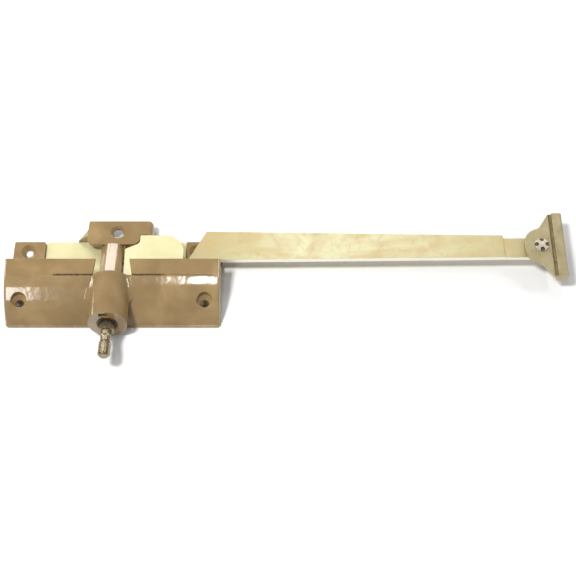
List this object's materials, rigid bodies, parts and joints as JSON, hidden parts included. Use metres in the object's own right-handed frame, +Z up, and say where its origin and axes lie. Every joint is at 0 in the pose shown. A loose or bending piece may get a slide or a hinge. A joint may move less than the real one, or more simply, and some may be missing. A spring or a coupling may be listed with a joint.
{
  "type": "window crank operator",
  "caption": "Single-arm casement window crank operator: cast cover with crank spindle and worm, sector gear under a guard plate, long swing arm and a swivelling T-shaped sash shoe.",
  "frame": {"origin": "on the sill face, midway between the two face screws", "axes": "+X along the arm in its closed position, +Y outward from the room, +Z up from the sill"},
  "size_m": [0.3664, 0.1051, 0.0269],
  "materials": {
    "casing_paint": "gloss bronze-taupe lacquer over zinc casting",
    "bright_plating": "bright pale yellow zinc plating",
    "arm_plating": "pale brass-coloured plating, rolled strip",
    "shoe_metal": "dull brass-coloured stamping",
    "spindle_steel": "brass-coloured plated steel, machined",
    "gear_steel": "greased sintered steel",
    "bearing_bronze": "oiled bearing bronze",
    "screw_steel": "zinc-plated steel",
    "rivet_steel": "bright staked rivet",
    "spring_steel": "blued spring steel",
    "nylon": "natural nylon",
    "seal_rubber": "black nitrile"
  },
  "bodies": {
    "root": {"housing": "casing_paint", "base_plate": "bright_plating", "base_screws": "screw_steel", "gear_guard": "bright_plating", "pivot_post": "screw_steel", "front_bushing": "bearing_bronze", "rear_bushing": "bearing_bronze", "spindle_seal": "seal_rubber", "lower_washer": "nylon", "pivot_clip": "spring_steel"},
    "crank": {"worm_shaft": "spindle_steel", "thrust_washer": "screw_steel", "retaining_clip": "spring_steel"},
    "arm": {"swing_arm": "arm_plating", "sector_gear": "gear_steel", "drive_rivets": "screw_steel", "gear_bushing": "bearing_bronze", "upper_washer": "screw_steel", "shoe_rivet": "rivet_steel"},
    "shoe": {"sash_shoe": "shoe_metal", "shoe_washer": "nylon", "shoe_spring_washer": "spring_steel"}
  },
  "joints": [
    {"name": "arm_swing", "type": "hinge", "parent": "root", "child": "arm", "pos_m": [0.0223, 0.0205, 0], "axis": [0, 0, 1], "range_deg": [0, 90]},
    {"name": "crank_turn", "type": "hinge", "parent": "root", "child": "crank", "pos_m": [-0.0013, 0.0205, 0.008], "axis": [0, -0.9848, 0.1736], "range_deg": [-2880, 0]},
    {"name": "shoe_swivel", "type": "hinge", "parent": "arm", "child": "shoe", "pos_m": [0.281, 0.03915, 0], "axis": [0, 0, 1], "range_deg": [-90, 90]}
  ],
  "couplings": [
    {"joint": "crank_turn", "follows": "arm_swing", "ratio": -32}
  ]
}
